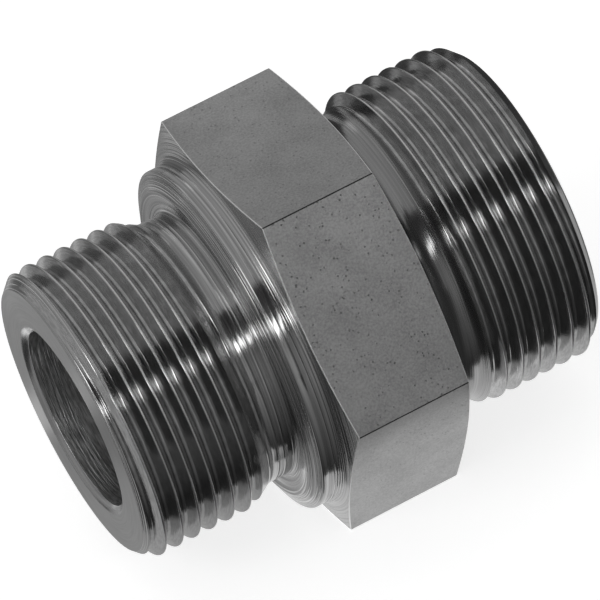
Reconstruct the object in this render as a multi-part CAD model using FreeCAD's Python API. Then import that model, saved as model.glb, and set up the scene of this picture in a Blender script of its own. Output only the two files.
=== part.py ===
import FreeCAD
import Part
import math
import os
from FreeCAD import Vector

# Body of a straight male stud fitting for a 25 mm tube, turned and threaded from hexagon bar.
# It is one piece of steel: stud end, sealing collar, hexagon and tube end on one bored axis.
# Millimetres. X runs along the axis towards the tube end, and Z is up.
# The origin is on the axis, in the plane of the collar's sealing edge, and a hexagon flat is underneath.

# Threads, at their outside diameter: the thread form itself is left to the finish
stud_thread_diameter = 33.0
tube_thread_diameter = 36.0
lead_in_angle = 45.0

# Stud end, from the sealing edge to the free end
stud_length = 18.0
stud_tip_diameter = 30.0
stud_undercut_diameter = 30.0
stud_undercut_width = 2.6
stud_undercut_rounding = 0.8
stud_run_out_angle = 30.0

# Sealing collar: a raised edge that bites into the port, a bevel outside it and a shallow recess inside it
collar_diameter = 39.0
collar_height = 3.2
sealing_edge_diameter = 35.0
rim_bevel_angle = 23.0
recess_angle = 10.0

# Hexagon, with its corners turned down to a cone at both ends
across_flats = 41.0
hex_width = 14.5
hex_face_diameter = 39.0
hex_chamfer_angle = 11.0

# Tube end, from the hexagon to the free end
tube_end_length = 17.9
tube_tip_diameter = 32.8
tube_undercut_diameter = 33.0
tube_undercut_width = 3.3
tube_run_out_angle = 45.0

# Bore, and at the tube end the tube's socket and the cone that the cutting ring is pressed into
bore_diameter = 20.0
bore_mouth_diameter = 21.7
bore_mouth_angle = 120.0
tube_diameter = 25.0
tube_clearance = 0.2
tube_socket_depth = 12.0
cone_mouth_diameter = 27.9
cone_angle = 24.0


def radius(diameter):
    return diameter / 2.0


def slope(angle):
    return math.tan(math.radians(angle))


def rounded_corner(before, corner, after, rounding):
    """Arc that touches both sides of a corner of a section."""
    side_in = (before - corner).normalize()
    side_out = (after - corner).normalize()
    half_angle = side_in.getAngle(side_out) / 2.0
    start = corner + side_in * (rounding / math.tan(half_angle))
    end = corner + side_out * (rounding / math.tan(half_angle))
    inwards = (side_in + side_out).normalize()
    middle = corner + inwards * (rounding / math.sin(half_angle) - rounding)
    return Part.Arc(start, middle, end).toShape()


def turned(outline):
    """Solid turned from a closed half section, with corners (x, r) or, if rounded, (x, r, rounding)."""
    corners = [Vector(corner[0], 0, corner[1]) for corner in outline]
    arcs = {}
    for i, corner in enumerate(outline):
        if len(corner) == 3:
            after = corners[(i + 1) % len(corners)]
            arcs[i] = rounded_corner(corners[i - 1], corners[i], after, corner[2])
    edges = []
    for i in range(len(corners)):
        following = (i + 1) % len(corners)
        start = arcs[i].lastVertex().Point if i in arcs else corners[i]
        end = arcs[following].firstVertex().Point if following in arcs else corners[following]
        if i in arcs:
            edges.append(arcs[i])
        edges.append(Part.makeLine(start, end))
    section = Part.Face(Part.Wire(edges))
    return section.revolve(Vector(0, 0, 0), Vector(1, 0, 0), 360)


# Stud end and collar
stud_end = -stud_length
stud_radius = radius(stud_thread_diameter)
stud_tip_radius = radius(stud_tip_diameter)
stud_undercut_radius = radius(stud_undercut_diameter)
collar_radius = radius(collar_diameter)
edge_radius = radius(sealing_edge_diameter)
stud_lead_in = (stud_radius - stud_tip_radius) / slope(lead_in_angle)
stud_run_out = (stud_radius - stud_undercut_radius) / slope(stud_run_out_angle)
recess_depth = (edge_radius - stud_undercut_radius) * slope(recess_angle)
bevel_height = (collar_radius - edge_radius) * slope(rim_bevel_angle)
hex_start = collar_height
stud_side = turned([
    (stud_end, 0),
    (stud_end, stud_tip_radius),
    (stud_end + stud_lead_in, stud_radius),
    (-stud_undercut_width - stud_run_out, stud_radius),
    (-stud_undercut_width, stud_undercut_radius),
    (recess_depth, stud_undercut_radius, stud_undercut_rounding),
    (0, edge_radius),
    (bevel_height, collar_radius),
    (hex_start, collar_radius),
    (hex_start, 0),
])

# Hexagon: the bar's six flats, cut down to the turned cones at its corners
hex_end = hex_start + hex_width
corner_radius = radius(across_flats) / math.cos(math.radians(30))
hex_face_radius = radius(hex_face_diameter)
corner_drop = (corner_radius - hex_face_radius) * slope(hex_chamfer_angle)
hex_blank = turned([
    (hex_start, 0),
    (hex_start, hex_face_radius),
    (hex_start + corner_drop, corner_radius),
    (hex_end - corner_drop, corner_radius),
    (hex_end, hex_face_radius),
    (hex_end, 0),
])
bar_corners = []
for corner in range(6):
    turn = math.radians(60 * corner)
    bar_corners.append(Vector(hex_start, corner_radius * math.cos(turn), corner_radius * math.sin(turn)))
bar_section = Part.Face(Part.makePolygon(bar_corners + [bar_corners[0]]))
hexagon = bar_section.extrude(Vector(hex_width, 0, 0)).common(hex_blank)

# Tube end
tube_end = hex_end + tube_end_length
tube_radius = radius(tube_thread_diameter)
tube_tip_radius = radius(tube_tip_diameter)
tube_undercut_radius = radius(tube_undercut_diameter)
tube_lead_in = (tube_radius - tube_tip_radius) / slope(lead_in_angle)
tube_run_out = (tube_radius - tube_undercut_radius) / slope(tube_run_out_angle)
tube_side = turned([
    (hex_end, 0),
    (hex_end, tube_undercut_radius),
    (hex_end + tube_undercut_width, tube_undercut_radius),
    (hex_end + tube_undercut_width + tube_run_out, tube_radius),
    (tube_end - tube_lead_in, tube_radius),
    (tube_end, tube_tip_radius),
    (tube_end, 0),
])

# Bore, tube socket and cone, cut in one go from end to end
bore_radius = radius(bore_diameter)
bore_mouth_radius = radius(bore_mouth_diameter)
socket_radius = radius(tube_diameter + tube_clearance)
cone_mouth_radius = radius(cone_mouth_diameter)
cone_depth = (cone_mouth_radius - socket_radius) / slope(cone_angle / 2.0)
bore_mouth_depth = (bore_mouth_radius - bore_radius) / slope(bore_mouth_angle / 2.0)
bore = turned([
    (stud_end, 0),
    (stud_end, bore_mouth_radius),
    (stud_end + bore_mouth_depth, bore_radius),
    (tube_end - tube_socket_depth, bore_radius),
    (tube_end - tube_socket_depth, socket_radius),
    (tube_end - cone_depth, socket_radius),
    (tube_end, cone_mouth_radius),
    (tube_end, 0),
])

blank = stud_side.fuse(hexagon).fuse(tube_side).removeSplitter()
fitting_body = blank.cut(bore)

os.makedirs("parts", exist_ok=True)
fitting_body.exportStep("parts/fitting_body.step")
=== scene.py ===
import bmesh
import bpy
import math
from mathutils import Matrix, Vector


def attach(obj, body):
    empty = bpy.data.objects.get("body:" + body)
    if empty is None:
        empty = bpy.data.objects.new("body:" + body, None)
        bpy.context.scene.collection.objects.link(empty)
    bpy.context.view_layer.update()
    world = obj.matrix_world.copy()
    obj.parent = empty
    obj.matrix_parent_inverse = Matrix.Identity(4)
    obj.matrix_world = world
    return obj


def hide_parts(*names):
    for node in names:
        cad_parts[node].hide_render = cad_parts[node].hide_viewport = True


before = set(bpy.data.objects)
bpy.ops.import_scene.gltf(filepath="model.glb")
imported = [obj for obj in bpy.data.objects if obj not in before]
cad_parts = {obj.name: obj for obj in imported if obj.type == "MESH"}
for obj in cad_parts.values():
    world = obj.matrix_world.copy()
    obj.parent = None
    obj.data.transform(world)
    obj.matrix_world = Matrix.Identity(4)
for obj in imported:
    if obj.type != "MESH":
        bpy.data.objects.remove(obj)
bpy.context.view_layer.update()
scene = bpy.context.scene
scene.view_settings.view_transform = "Standard"

# Camera: above the stud end and in front of the body, with a long lens. It is rolled so that the body
# rises to the right, and it looks at the middle of the hexagon.
camera_place = Vector((-0.156388, -0.536859, 0.431754))
camera_right = Vector((0.86672, -0.44639, -0.22255))
camera_up = Vector((0.44046, 0.47558, 0.76146))
camera_back = Vector((-0.23406, -0.75800, 0.60881))
camera_data = bpy.data.cameras.new("camera")
camera_data.sensor_width = 36.0
camera_data.lens = 408.5
camera_data.clip_end = 20.0
camera = bpy.data.objects.new("camera", camera_data)
camera_turn = Matrix((camera_right, camera_up, camera_back)).transposed().to_4x4()
camera.matrix_world = Matrix.Translation(camera_place) @ camera_turn
scene.collection.objects.link(camera)
scene.camera = camera

# Fitting body: one piece of steel. The bar is turned, bored and faced first, and its hexagon is left
# standing in the middle, with its corners turned down to a cone. Lengths here and for the threads are in
# millimetres, and x is measured from the sealing edge.
mm = 0.001
stud_end = -18.0
stud_radius = 16.5
stud_undercut_radius = 15.0
edge_radius = 17.5
collar_radius = 19.5
hexagon_start = 3.2
hexagon_end = 17.7
hexagon_face_radius = 19.5
cone_radius = 24.5
flat_distance = 20.5
tube_undercut_radius = 16.5
tube_radius = 18.0
tube_end = 35.6
socket_radius = 12.6
tube_stop = 23.6
bore_radius = 10.0
turned_section = [
    # x, r and the length taken off each side of the corner where it is rounded
    (stud_end, 10.85, 0.08),  # mouth of the bore
    (stud_end, 15.0, 0.10),  # lead-in of the stud's thread
    (-16.5, stud_radius, 0.0),
    (-5.198, stud_radius, 0.0),  # run-out of that thread, down to the undercut
    (-2.6, stud_undercut_radius, 0.3),
    (0.441, stud_undercut_radius, 0.84),  # shallow recess, up to the sealing edge
    (0.0, edge_radius, 0.06),
    (0.849, collar_radius, 0.12),  # collar, from its bevel to its rounded foot
    (hexagon_start, collar_radius, 0.95),
    (4.172, cone_radius, 0.0),  # cones at both ends of the hexagon
    (16.728, cone_radius, 0.0),
    (hexagon_end, hexagon_face_radius, 0.15),
    (hexagon_end, tube_undercut_radius, 2.4),  # tube end's undercut, with a rounded foot
    (21.0, tube_undercut_radius, 0.7),
    (22.5, tube_radius, 0.0),  # tube end's thread, from its run-out to its lead-in
    (34.0, tube_radius, 0.0),
    (tube_end, 16.4, 0.10),
    (tube_end, 13.95, 0.10),  # cone that the cutting ring is pressed into
    (29.249, socket_radius, 0.0),  # socket for the tube, down to its stop
    (tube_stop, socket_radius, 0.10),
    (tube_stop, bore_radius, 0.05),
    (-17.509, bore_radius, 0.05),
]
rounding_steps_per_mm = 8
steps_round = 180
section_angle = math.radians(1)
edge_break = 0.09
finishes = ["turned_steel", "flat_steel", "stud_thread_steel", "tube_thread_steel", "edge_painted_shade",
            "rim_painted_highlight", "faced_steel", "bored_steel", "grooved_steel", "crest_painted_highlight", "cone_steel"]
TURNED, FLAT, STUD_THREAD, TUBE_THREAD, EDGE, RIM, FACED, BORED, GROOVED, CREST, CONE = range(11)

body_mesh = bmesh.new()
corners = [body_mesh.verts.new((x * mm, r * mm, 0.0)) for x, r, rounding in turned_section]
for corner, following in zip(corners, corners[1:] + corners[:1]):
    body_mesh.edges.new((corner, following))
for corner, (x, r, rounding) in zip(corners, turned_section):
    if rounding > 0.0:
        rounding_steps = max(2, round(rounding * rounding_steps_per_mm))
        bmesh.ops.bevel(body_mesh, geom=[corner], offset=rounding * mm, offset_type="OFFSET",
                        segments=rounding_steps, profile=0.5, affect="VERTICES", material=-1)

# The spin starts half a step off the hexagon's corners, so that no step of it lies along one.
bmesh.ops.rotate(body_mesh, verts=body_mesh.verts, cent=(0, 0, 0),
                 matrix=Matrix.Rotation(section_angle, 3, "X"))
bmesh.ops.spin(body_mesh, geom=body_mesh.verts[:] + body_mesh.edges[:], cent=(0, 0, 0), axis=(1, 0, 0),
               angle=math.tau, steps=steps_round, use_merge=True)
bmesh.ops.remove_doubles(body_mesh, verts=body_mesh.verts, dist=1e-7)

# The six flats are the bar's own. Their long edges and their curved rims are broken a little.
for flat in range(6):
    flat_angle = math.radians(30 + 60 * flat)
    outwards = Vector((0.0, math.cos(flat_angle), math.sin(flat_angle)))
    whole = body_mesh.verts[:] + body_mesh.edges[:] + body_mesh.faces[:]
    cut = bmesh.ops.bisect_plane(body_mesh, geom=whole, plane_co=outwards * flat_distance * mm,
                                 plane_no=outwards, clear_outer=True)
    outline = [part for part in cut["geom_cut"] if isinstance(part, bmesh.types.BMEdge)]
    new_flat = bmesh.ops.edgeloop_fill(body_mesh, edges=outline)["faces"]
    new_flat[0].material_index = FLAT
bmesh.ops.recalc_face_normals(body_mesh, faces=body_mesh.faces)
flat_edges = [edge for edge in body_mesh.edges
              if any(face.material_index == FLAT for face in edge.link_faces)]
broken_edges = bmesh.ops.bevel(body_mesh, geom=flat_edges, offset=edge_break * mm, offset_type="OFFSET",
                               segments=2, profile=0.5, affect="EDGES", material=RIM)["faces"]
# The bevels take the rim finish, a painted highlight; those along the hexagon's corners take the edge
# finish, a painted shade.
for face in broken_edges:
    middle = face.calc_center_median()
    degrees_from_corner = (math.degrees(math.atan2(middle.z, middle.y)) + 30) % 60 - 30
    runs_lengthwise = abs(face.normal.x) < 0.3
    if runs_lengthwise and abs(degrees_from_corner) < 1.0:
        face.material_index = EDGE

# Threads: a tool with a 60 degree point cuts each as one right-hand groove, 2 mm a turn, that starts in
# the air and runs out into the undercut. It leaves a narrow crest with its edges a little rounded.
pitch = 2.0
groove_turns = 9
groove_half_section = [
    # Places along the axis from the groove's middle, and outwards from the thread's radius
    (0.965, 0.02),
    (0.925, -0.005),
    (0.885, -0.03),
    (0.85, -0.075),
    (0.25, -1.17),
    (0.13, -1.245),
    (0.0, -1.265),
]


def thread_groove(name, start, start_angle, thread_radius, finish):
    """Closed solid of the steel that the tool takes away, from x = start at start_angle."""
    groove = bmesh.new()
    other_half = [(-across, up) for across, up in reversed(groove_half_section[:-1])]
    points = []
    for across, up in groove_half_section + other_half:
        points.append(groove.verts.new(((start + across) * mm, (thread_radius + up) * mm, 0.0)))
    for point, following in zip(points, points[1:] + points[:1]):
        groove.edges.new((point, following))
    bmesh.ops.rotate(groove, verts=groove.verts, cent=(0, 0, 0),
                     matrix=Matrix.Rotation(start_angle, 3, "X"))
    bmesh.ops.spin(groove, geom=groove.verts[:] + groove.edges[:], cent=(0, 0, 0), axis=(1, 0, 0),
                   dvec=(pitch * mm / steps_round, 0, 0), angle=math.tau, steps=steps_round,
                   use_merge=False)
    first_turn = groove.verts[:] + groove.edges[:] + groove.faces[:]
    for turn in range(1, groove_turns):
        copy = bmesh.ops.duplicate(groove, geom=first_turn)["geom"]
        copied_points = [part for part in copy if isinstance(part, bmesh.types.BMVert)]
        bmesh.ops.translate(groove, verts=copied_points, vec=(turn * pitch * mm, 0, 0))
    bmesh.ops.remove_doubles(groove, verts=groove.verts, dist=1e-6)
    open_ends = [edge for edge in groove.edges if edge.is_boundary]
    bmesh.ops.holes_fill(groove, edges=open_ends, sides=0)
    bmesh.ops.recalc_face_normals(groove, faces=groove.faces)
    for face in groove.faces:
        face.material_index = finish
    mesh = bpy.data.meshes.new(name)
    groove.to_mesh(mesh)
    groove.free()
    tool = bpy.data.objects.new(name, mesh)
    scene.collection.objects.link(tool)
    return tool


stud_groove = thread_groove("stud_groove", start=-19.698, start_angle=math.radians(92),
                            thread_radius=stud_radius, finish=STUD_THREAD)
tube_groove = thread_groove("tube_groove", start=19.502, start_angle=math.radians(2),
                            thread_radius=tube_radius, finish=TUBE_THREAD)
blank_mesh = bpy.data.meshes.new("blank")
body_mesh.to_mesh(blank_mesh)
body_mesh.free()
blank = bpy.data.objects.new("blank", blank_mesh)
scene.collection.objects.link(blank)
materials = [bpy.data.materials.new(name) for name in finishes]
for owner in (blank, stud_groove, tube_groove):
    for material in materials:
        owner.data.materials.append(material)
for tool in (stud_groove, tube_groove):
    cutting = blank.modifiers.new(tool.name, "BOOLEAN")
    cutting.operation = "DIFFERENCE"
    cutting.solver = "MANIFOLD"
    cutting.object = tool
depsgraph = bpy.context.evaluated_depsgraph_get()
threaded_mesh = bpy.data.meshes.new_from_object(blank.evaluated_get(depsgraph))
threaded_mesh.name = "fitting_body_finish"
body = bpy.data.objects.new("fitting_body_finish", threaded_mesh)
scene.collection.objects.link(body)
for scrap in (blank, stud_groove, tube_groove):
    bpy.data.objects.remove(scrap)

# Each surface gets the finish that its tool left, with a painted highlight on the threads' crests and
# painted light in the bore, and a map that runs round the axis, which the stretched highlights of turned
# steel follow.
end_face_depth = 0.05
mouth_depth = 0.49
mouth_reach = 11.0
inside_reach = 14.0
undercut_start = 17.65
undercut_end = 22.6
map_unit = 10.0
sharp_angle = math.radians(36)
finishing = bmesh.new()
finishing.from_mesh(threaded_mesh)
bmesh.ops.dissolve_degenerate(finishing, dist=2e-6, edges=finishing.edges)
round_axis = finishing.loops.layers.uv.new("round_axis")
for face in finishing.faces:
    face.smooth = True
    middle = face.calc_center_median()
    middle_x = middle.x / mm
    middle_radius = math.hypot(middle.y, middle.z) / mm
    middle_angle = math.atan2(middle.z, middle.y)
    endwise = abs(face.normal.x) > 0.8
    square_to_stud_end = face.normal.x <= -0.95
    at_an_end = middle_x < stud_end + end_face_depth or middle_x > tube_end - end_face_depth
    in_bore_mouth = middle_x < stud_end + mouth_depth and middle_radius < mouth_reach
    in_tube_undercut = undercut_start < middle_x < undercut_end
    crest_radius = stud_radius if middle_x < 0.0 else tube_radius
    on_a_crest = abs(middle_radius - crest_radius) < 0.02 and abs(face.normal.x) < 0.02
    if in_bore_mouth and not square_to_stud_end:
        face.material_index = GROOVED
    elif endwise and at_an_end:
        face.material_index = FACED
    elif middle_radius < inside_reach:
        face.material_index = BORED
    # The crests' finish is a painted highlight.
    elif face.material_index == TURNED and on_a_crest:
        face.material_index = CREST
    elif face.material_index == TURNED and in_tube_undercut:
        face.material_index = GROOVED
    elif face.material_index == TURNED and endwise and middle_radius > collar_radius + 0.1:
        face.material_index = CONE
    for loop in face.loops:
        place = loop.vert.co
        angle = math.atan2(place.z, place.y)
        angle += math.tau * round((middle_angle - angle) / math.tau)
        along = math.hypot(place.y, place.z) if endwise else place.x
        loop[round_axis].uv = (angle / math.tau, along / mm / map_unit)
finishing.to_mesh(threaded_mesh)
finishing.free()
threaded_mesh.set_sharp_from_angle(angle=sharp_angle)
even_shading = body.modifiers.new("even_shading", "WEIGHTED_NORMAL")
even_shading.keep_sharp = True
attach(body, "root")
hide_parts("fitting_body")


# Turned steel: bare, with rings from the tool round the axis. The rings vary the grey and the height of
# the surface, and its steep ridges are painted lighter, a painted highlight. Heights are in millimetres.
def add_node(tree, kind, inputs=None, **settings):
    """Node in a tree. An input takes a plain value, or the output that it is linked from."""
    made = tree.nodes.new(kind)
    for name, setting in settings.items():
        setattr(made, name, setting)
    for name, value in (inputs or {}).items():
        if isinstance(value, bpy.types.NodeSocket):
            tree.links.new(value, made.inputs[name])
        else:
            made.inputs[name].default_value = value
    return made


def calculate(tree, operation, *values, use_clamp=False):
    """Result of a Math node, whose values are taken as inputs are in add_node."""
    return add_node(tree, "ShaderNodeMath", dict(enumerate(values)), operation=operation,
                    use_clamp=use_clamp).outputs["Value"]


def shade_ramp(tree, source, stops):
    """Greys against a value: stops are pairs of a position and a level."""
    ramp = add_node(tree, "ShaderNodeValToRGB", {"Fac": source})
    elements = ramp.color_ramp.elements
    while len(elements) < len(stops):
        elements.new(0.5)
    for element, (position, level) in zip(elements, stops):
        element.position = position
        element.color = (level, level, level, 1.0)
    return ramp.outputs["Color"]


def turning_lines_group():
    """Rings round the X axis: fine lines all over, and a few steep ridges."""
    lines_up_a_face = 1.7
    line_detail = 3.0
    line_roughness = 0.6
    ridge_waver_share = 0.15
    ridge_peaks = [(0.30, 0.0), (0.36, 1.0), (0.42, 0.0), (0.48, 0.0), (0.54, 1.0), (0.60, 0.0)]
    group = bpy.data.node_groups.new("turning_lines", "ShaderNodeTree")
    group.interface.new_socket("Place", in_out="INPUT", socket_type="NodeSocketVector")
    for name in ("Lines per mm", "Unevenness", "Line depth", "Ridges per mm", "Ridge height"):
        group.interface.new_socket(name, in_out="INPUT", socket_type="NodeSocketFloat")
    group.interface.new_socket("Normal", in_out="OUTPUT", socket_type="NodeSocketVector")
    for name in ("Mask", "Ridges"):
        group.interface.new_socket(name, in_out="OUTPUT", socket_type="NodeSocketFloat")
    given = add_node(group, "NodeGroupInput").outputs
    parts = add_node(group, "ShaderNodeSeparateXYZ", {"Vector": given["Place"]}).outputs
    across = add_node(group, "ShaderNodeCombineXYZ", {"Y": parts["Y"], "Z": parts["Z"]}).outputs["Vector"]
    radius = add_node(group, "ShaderNodeVectorMath", {0: across}, operation="LENGTH").outputs["Value"]
    direction = add_node(group, "ShaderNodeVectorMath", {0: across},
                         operation="NORMALIZE").outputs["Vector"]
    along = calculate(group, "MULTIPLY_ADD", radius, lines_up_a_face, parts["X"])
    along_mm = calculate(group, "MULTIPLY", along, 1.0 / mm)

    def rings(per_mm, unevenness, detail):
        """Noise that runs along the axis and changes a little on the way round it."""
        around = add_node(group, "ShaderNodeVectorMath", {0: direction, "Scale": unevenness},
                          operation="SCALE").outputs["Vector"]
        count = add_node(group, "ShaderNodeCombineXYZ",
                         {"X": calculate(group, "MULTIPLY", along_mm, per_mm)}).outputs["Vector"]
        spot = add_node(group, "ShaderNodeVectorMath", {0: count, 1: around}, operation="ADD")
        return add_node(group, "ShaderNodeTexNoise", {
            "Vector": spot.outputs["Vector"],
            "Scale": 1.0,
            "Detail": detail,
            "Roughness": line_roughness,
        }).outputs["Fac"]

    lines = rings(given["Lines per mm"], given["Unevenness"], line_detail)
    ridge_waver = calculate(group, "MULTIPLY", given["Unevenness"], ridge_waver_share)
    ridges = shade_ramp(group, rings(given["Ridges per mm"], ridge_waver, 0.0), ridge_peaks)
    line_height = calculate(group, "MULTIPLY", lines, given["Line depth"])
    height = calculate(group, "MULTIPLY_ADD", ridges, given["Ridge height"], line_height)
    bump = add_node(group, "ShaderNodeBump", {"Strength": 1.0, "Distance": mm, "Height": height})
    add_node(group, "NodeGroupOutput", {
        "Normal": bump.outputs["Normal"],
        "Mask": lines,
        "Ridges": ridges,
    })
    return group


turning_lines = turning_lines_group()


def steel_shader(material, roughness):
    """Shader of bare steel, which still wants its grey."""
    material.use_nodes = True
    shader = material.node_tree.nodes["Principled BSDF"]
    shader.inputs["Metallic"].default_value = 1.0
    shader.inputs["Roughness"].default_value = roughness
    return shader


def turned_finish(material, greys, roughness, stretch, lines_per_mm, unevenness, line_depth,
                  ridges_per_mm, ridge_height, ridge_painted_highlight):
    """Turned steel, whose grey varies between two levels with its lines, with a painted highlight on its
    ridges.
    """
    darkest_line = 0.36
    lightest_line = 0.64
    quarter_turn = 0.25
    shader = steel_shader(material, roughness)
    tree = material.node_tree
    marks = add_node(tree, "ShaderNodeGroup", {
        "Place": add_node(tree, "ShaderNodeTexCoord").outputs["Object"],
        "Lines per mm": lines_per_mm,
        "Unevenness": unevenness,
        "Line depth": line_depth,
        "Ridges per mm": ridges_per_mm,
        "Ridge height": ridge_height,
    }, node_tree=turning_lines).outputs
    dark, light = greys
    shade = shade_ramp(tree, marks["Mask"], [(darkest_line, dark), (lightest_line, light)])
    # Painted highlight: the grey is made lighter along the ridges.
    grey_with_painted_highlight = calculate(tree, "MULTIPLY_ADD", marks["Ridges"], ridge_painted_highlight, shade, use_clamp=True)
    tree.links.new(grey_with_painted_highlight, shader.inputs["Base Color"])
    tree.links.new(marks["Normal"], shader.inputs["Normal"])
    shader.inputs["Anisotropic"].default_value = stretch
    shader.inputs["Anisotropic Rotation"].default_value = quarter_turn
    tangent = add_node(tree, "ShaderNodeTangent", direction_type="UV_MAP", uv_map="round_axis")
    tree.links.new(tangent.outputs["Tangent"], shader.inputs["Tangent"])


turned_finish(materials[TURNED], greys=(0.31, 0.48), roughness=0.17, stretch=0.5, lines_per_mm=5.5,
              unevenness=0.8, line_depth=0.006, ridges_per_mm=0.9, ridge_height=0.038, ridge_painted_highlight=0.26)
turned_finish(materials[CONE], greys=(0.32, 0.45), roughness=0.19, stretch=0.5, lines_per_mm=5.5,
              unevenness=0.8, line_depth=0.005, ridges_per_mm=0.9, ridge_height=0.022, ridge_painted_highlight=0.10)
turned_finish(materials[GROOVED], greys=(0.30, 0.43), roughness=0.20, stretch=0.4, lines_per_mm=5.0,
              unevenness=0.8, line_depth=0.006, ridges_per_mm=1.2, ridge_height=0.006, ridge_painted_highlight=0.0)
turned_finish(materials[STUD_THREAD], greys=(0.40, 0.54), roughness=0.17, stretch=0.3, lines_per_mm=3.0,
              unevenness=12.0, line_depth=0.006, ridges_per_mm=0.7, ridge_height=0.003, ridge_painted_highlight=0.0)
# The tube end's thread is painted a shade darker than the stud's: painted shade.
turned_finish(materials[TUBE_THREAD], greys=(0.38, 0.54), roughness=0.17, stretch=0.3, lines_per_mm=3.0,
              unevenness=12.0, line_depth=0.006, ridges_per_mm=0.7, ridge_height=0.003, ridge_painted_highlight=0.0)
turned_finish(materials[FACED], greys=(0.36, 0.43), roughness=0.36, stretch=0.2, lines_per_mm=2.5,
              unevenness=2.0, line_depth=0.003, ridges_per_mm=0.8, ridge_height=0.0, ridge_painted_highlight=0.0)
# The bore's steel is painted lighter than the rest, with light rings: painted light inside the bore.
turned_finish(materials[BORED], greys=(0.34, 0.76), roughness=0.32, stretch=0.3, lines_per_mm=5.0,
              unevenness=5.0, line_depth=0.024, ridges_per_mm=2.6, ridge_height=0.012, ridge_painted_highlight=0.0)

# Flats: the drawn bar's own skin. It is smooth and evenly grey, with a fine grain, faint clouds and small
# pits, whose dark grey is painted shade. Scales are in cells a metre. The grain's height is in
# millimetres, and a pit's is in grain heights.
grain_scale = 4200.0
grain_roughness = 0.6
cloud_scale = 260.0
cloud_share = 0.5
noise_detail = 2.0
bar_roughness = 0.28
bar_greys = [(0.55, 0.31), (0.95, 0.445)]
pit_scale = 2300.0
pit_shape = [(0.12, 1.0), (0.26, 0.0)]
bare_share = 0.62
pit_painted_shade_grey = 0.27
grain_height = 0.003
pit_height = -7.0
bar_shader = steel_shader(materials[FLAT], bar_roughness)
bar_tree = materials[FLAT].node_tree
bar_place = add_node(bar_tree, "ShaderNodeTexCoord").outputs["Object"]
grain = add_node(bar_tree, "ShaderNodeTexNoise", {
    "Vector": bar_place,
    "Scale": grain_scale,
    "Detail": noise_detail,
    "Roughness": grain_roughness,
}).outputs["Fac"]
cloud = add_node(bar_tree, "ShaderNodeTexNoise", {
    "Vector": bar_place,
    "Scale": cloud_scale,
    "Detail": noise_detail,
}).outputs["Fac"]
mottle = calculate(bar_tree, "MULTIPLY_ADD", cloud, cloud_share, grain)
bar_grey = shade_ramp(bar_tree, mottle, bar_greys)
cells = add_node(bar_tree, "ShaderNodeTexVoronoi", {"Vector": bar_place, "Scale": pit_scale}).outputs
dimple = shade_ramp(bar_tree, cells["Distance"], pit_shape)
chance = add_node(bar_tree, "ShaderNodeSeparateColor", {"Color": cells["Color"]}).outputs["Red"]
chosen = calculate(bar_tree, "GREATER_THAN", chance, bare_share)
pit = calculate(bar_tree, "MULTIPLY", dimple, chosen)
# The pits are painted darker: painted shade in them.
pitted = add_node(bar_tree, "ShaderNodeMix", {"Factor": pit, "A": bar_grey, "B": pit_painted_shade_grey})
bar_tree.links.new(pitted.outputs["Result"], bar_shader.inputs["Base Color"])
bar_height = calculate(bar_tree, "MULTIPLY_ADD", pit, pit_height, grain)
bar_bump = add_node(bar_tree, "ShaderNodeBump", {
    "Strength": 1.0,
    "Distance": grain_height * mm,
    "Height": bar_height,
})
bar_tree.links.new(bar_bump.outputs["Normal"], bar_shader.inputs["Normal"])

# Edges: the hexagon's long edges are painted dark, a painted shade, and its curved rims and the threads'
# crests are painted light, a painted highlight.
for finish, grey, roughness in ((EDGE, 0.05, 0.4), (RIM, 0.9, 0.45), (CREST, 0.72, 0.4)):
    edge_shader = steel_shader(materials[finish], roughness)
    edge_shader.inputs["Base Color"].default_value = (grey, grey, grey, 1.0)

# Floor: wide and plain. It looks white to the camera, and keeps the body's soft shadow. Lengths from
# here on are in metres.
floor_height = -0.0205
floor_reach = 6.0
floor_paint = 0.66
floor_glow = 0.70


def sheet_between(name, near_edge, far_edge, low_x, high_x, far_low_x=None):
    """Flat sheet along X between two edges, each a (y, z) place. Its low side may slant to far_low_x."""
    sheet = bmesh.new()
    near_points = [sheet.verts.new((x, near_edge[0], near_edge[1])) for x in (low_x, high_x)]
    drawn_edge = sheet.edges.new(near_points)
    moved = bmesh.ops.extrude_edge_only(sheet, edges=[drawn_edge])["geom"]
    far_points = [part for part in moved if isinstance(part, bmesh.types.BMVert)]
    bmesh.ops.translate(sheet, verts=far_points,
                        vec=(0.0, far_edge[0] - near_edge[0], far_edge[1] - near_edge[1]))
    if far_low_x is not None:
        min(far_points, key=lambda point: point.co.x).co.x = far_low_x
    mesh = bpy.data.meshes.new(name)
    sheet.to_mesh(mesh)
    sheet.free()
    flat_sheet = bpy.data.objects.new(name, mesh)
    scene.collection.objects.link(flat_sheet)
    return flat_sheet


floor = sheet_between("floor", (-floor_reach, floor_height), (floor_reach, floor_height),
                      -floor_reach, floor_reach)
floor_material = bpy.data.materials.new("white_floor")
floor_material.use_nodes = True
floor_tree = floor_material.node_tree
floor_tree.nodes.remove(floor_tree.nodes["Principled BSDF"])
painted = add_node(floor_tree, "ShaderNodeBsdfDiffuse",
                   {"Color": (floor_paint, floor_paint, floor_paint, 1.0)})
ray = add_node(floor_tree, "ShaderNodeLightPath").outputs
seen_or_mirrored = calculate(floor_tree, "MAXIMUM", ray["Is Camera Ray"], ray["Is Glossy Ray"])
seen_at_all = calculate(floor_tree, "MAXIMUM", seen_or_mirrored, ray["Is Transmission Ray"])
glow_strength = calculate(floor_tree, "MULTIPLY", seen_at_all, floor_glow)
glowing = add_node(floor_tree, "ShaderNodeEmission", {"Strength": glow_strength})
floor_shader = add_node(floor_tree, "ShaderNodeAddShader",
                        {0: painted.outputs["BSDF"], 1: glowing.outputs["Emission"]})
floor_output = floor_tree.nodes["Material Output"]
floor_tree.links.new(floor_shader.outputs["Shader"], floor_output.inputs["Surface"])
floor.data.materials.append(floor_material)

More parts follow.
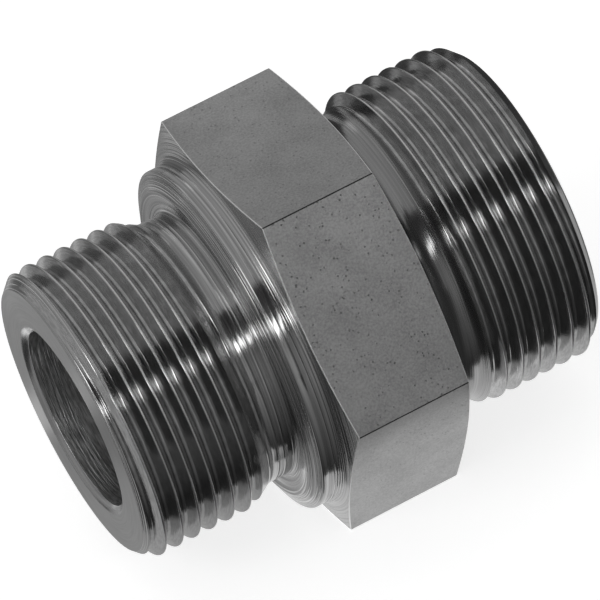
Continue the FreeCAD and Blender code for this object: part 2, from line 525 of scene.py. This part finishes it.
# Walls: plain grey all round.
wall_grey = 0.43
walls = bpy.data.worlds.new("grey_walls")
walls.use_nodes = True
wall_inputs = walls.node_tree.nodes["Background"].inputs
wall_inputs["Color"].default_value = (wall_grey, wall_grey, wall_grey, 1.0)
wall_inputs["Strength"].default_value = 1.0
scene.world = walls

# Lamps: a long soft strip light along the body, just below the camera's line of sight, and two smaller
# ones at the stud end, a wide one high up and a narrow one low down.
lamp_distance = 1.3


def lamp(name, towards, side, length, width, level, slide=0.0):
    """Soft rectangular lamp that faces the body from towards, with its length along side."""
    towards = towards.normalized()
    side = (side - side.dot(towards) * towards).normalized()
    data = bpy.data.lights.new(name, "AREA")
    data.shape = "RECTANGLE"
    data.size = length
    data.size_y = width
    data.energy = level * length * width * math.pi
    shining = bpy.data.objects.new(name, data)
    turn = Matrix((side, towards.cross(side), towards)).transposed().to_4x4()
    shining.matrix_world = Matrix.Translation(towards * lamp_distance + side * slide) @ turn
    shining.visible_camera = False
    scene.collection.objects.link(shining)


strip_angle = math.radians(147.2)
strip_tilt = math.radians(12)
strip_towards = Vector((0.234, 0.972 * math.cos(strip_angle), 0.972 * math.sin(strip_angle)))
strip_rise = Vector((0.0, -math.sin(strip_angle), math.cos(strip_angle)))
strip_side = Vector((math.cos(strip_tilt), 0.0, 0.0)) + strip_rise * math.sin(strip_tilt)
lamp("strip_light", strip_towards, strip_side, length=1.5, width=0.14, level=3.6, slide=-0.5)
lamp("side_light", Vector((-0.71, -0.27, 0.66)), Vector((0.38, -0.52, -0.15)), length=0.6, width=0.36,
     level=3.0)
lamp("end_light", Vector((-0.906, -0.354, 0.230)), Vector((1.0, 0.0, 0.0)), length=0.8, width=0.13,
     level=3.2)

# Cards: plain sheets of paper, from nearly black to bright, that show only in the steel. They stand
# round the body and lie on the floor, and give its turned surfaces their dark and light bands.
card_height = floor_height + 0.0002
top_card_height = card_height + 0.0002


def card(name, near_edge, far_edge, low_x, high_x, shades, far_low_x=None):
    """Card seen only in the steel. Its shades are pairs of a share of the way along Y and a level."""
    flat_card = sheet_between(name, near_edge, far_edge, low_x, high_x, far_low_x)
    flat_card.visible_camera = False
    flat_card.visible_diffuse = False
    flat_card.visible_shadow = False
    flat_card.visible_transmission = False
    paper = bpy.data.materials.new(name)
    paper.use_nodes = True
    tree = paper.node_tree
    tree.nodes.remove(tree.nodes["Principled BSDF"])
    place = add_node(tree, "ShaderNodeTexCoord").outputs["Object"]
    depth = add_node(tree, "ShaderNodeSeparateXYZ", {"Vector": place}).outputs["Y"]
    share = add_node(tree, "ShaderNodeMapRange", {
        "Value": depth,
        "From Min": near_edge[0],
        "From Max": far_edge[0],
    }).outputs["Result"]
    glow = add_node(tree, "ShaderNodeEmission", {"Color": shade_ramp(tree, share, shades)})
    tree.links.new(glow.outputs["Emission"], tree.nodes["Material Output"].inputs["Surface"])
    flat_card.data.materials.append(paper)


def even(level):
    """Shades of a card that is the same all over."""
    return [(0.0, level), (1.0, level)]


def place_round(degrees, distance):
    """Place (y, z) at an angle round the axis, from +Y towards +Z."""
    return (distance * math.cos(math.radians(degrees)), distance * math.sin(math.radians(degrees)))


# In front of the body: a large dark card that slopes down to the floor, a strip above it at the tube end,
# a lighter card nearer to the body at the stud end, and on the floor two graded cards and a dark wedge.
card_distance = 1.5
upper_edge = place_round(118, card_distance)
thread_edge = place_round(111, card_distance)
card("dark_card", upper_edge, (-1.9, floor_height), -3.0, 9.0, [(0.0, 0.035), (1.0, 0.05)])
card("thread_card", thread_edge, upper_edge, 0.8, 9.0, even(0.035))
card("grey_card", (-1.0, 0.52), (-1.25, 0.0), -3.0, 0.56, [(0.0, 0.16), (0.5, 0.26)])
card("far_floor_card", (-0.16, card_height), (-1.9, card_height), -3.0, 3.0, [(0.0, 0.24), (0.3, 0.30)])
card("floor_card", (-0.0205, card_height), (-0.16, card_height), -3.0, 3.0,
     [(0.0, 0.03), (0.03, 0.06), (0.08, 0.10), (0.2, 0.15), (0.45, 0.19), (1.0, 0.24)])
card("dark_wedge", (-0.0205, top_card_height), (-1.25, top_card_height), 0.026, 3.0, even(0.05),
     far_low_x=0.34)

# On the floor under, beside and behind the body.
floor_cards = [
    # name, y of the two edges, x from and to, and level
    ("stud_floor_card", -0.0145, -0.0205, -3.0, 0.002, 0.04),
    ("tube_floor_card", -0.0145, -0.0205, 0.0225, 3.0, 0.04),
    ("stud_near_card", 0.012, 0.05, -0.05, -0.019, 0.43),
    ("stud_side_card", 0.012, 0.05, -3.0, -0.05, 0.40),
    ("stud_back_card", 0.05, 0.085, -3.0, -0.015, 0.55),
    ("stud_far_card", 0.085, 3.0, -3.0, -0.015, 0.32),
    ("back_near_card", 0.012, 0.075, -0.019, 0.036, 0.30),
    ("back_card", 0.075, 3.0, -0.015, 3.0, 0.30),
    ("tube_back_card", 0.012, 0.075, 0.036, 3.0, 0.06),
    ("side_card", -0.0145, 0.012, -3.0, -0.019, 0.45),
    ("stud_under_card", -0.0145, 0.012, -0.019, -0.002, 0.40),
    ("under_card", -0.0145, 0.012, -0.002, 0.0225, 0.74),
    ("flat_card", -0.0205, -0.0145, 0.002, 0.0225, 0.74),
    ("tube_under_card", -0.0145, 0.012, 0.0225, 3.0, 0.60),
]
for name, near_y, far_y, low_x, high_x, level in floor_cards:
    card(name, (near_y, card_height), (far_y, card_height), low_x, high_x, even(level))

# On top of those, beside the stud end, two small ones that give the bore's mouth its dark and light spot.
card("mouth_dark_card", (0.014, top_card_height), (0.025, top_card_height), -0.045, -0.029, even(0.04))
card("mouth_light_card", (0.025, top_card_height), (0.032, top_card_height), -0.029, -0.022, even(1.2))

# Upright, close behind the body: dark ones for the threads, and a light one for the top flat.
upright_y = 0.05
upright_lean = 0.0001
uprights = [
    # name, z of the two edges, x from and to, and level
    ("tube_upright", card_height, 0.03, 0.034, 0.35, 0.05),
    ("middle_upright", card_height, 0.03, 0.0155, 0.029, 0.05),
    ("top_upright", 0.034, 0.0515, 0.0158, 0.0292, 0.72),
    ("stud_upright", 0.0, 0.03, -0.035, 0.009, 0.17),
]
for name, low_z, high_z, low_x, high_x, level in uprights:
    card(name, (upright_y, low_z), (upright_y + upright_lean, high_z), low_x, high_x, even(level))
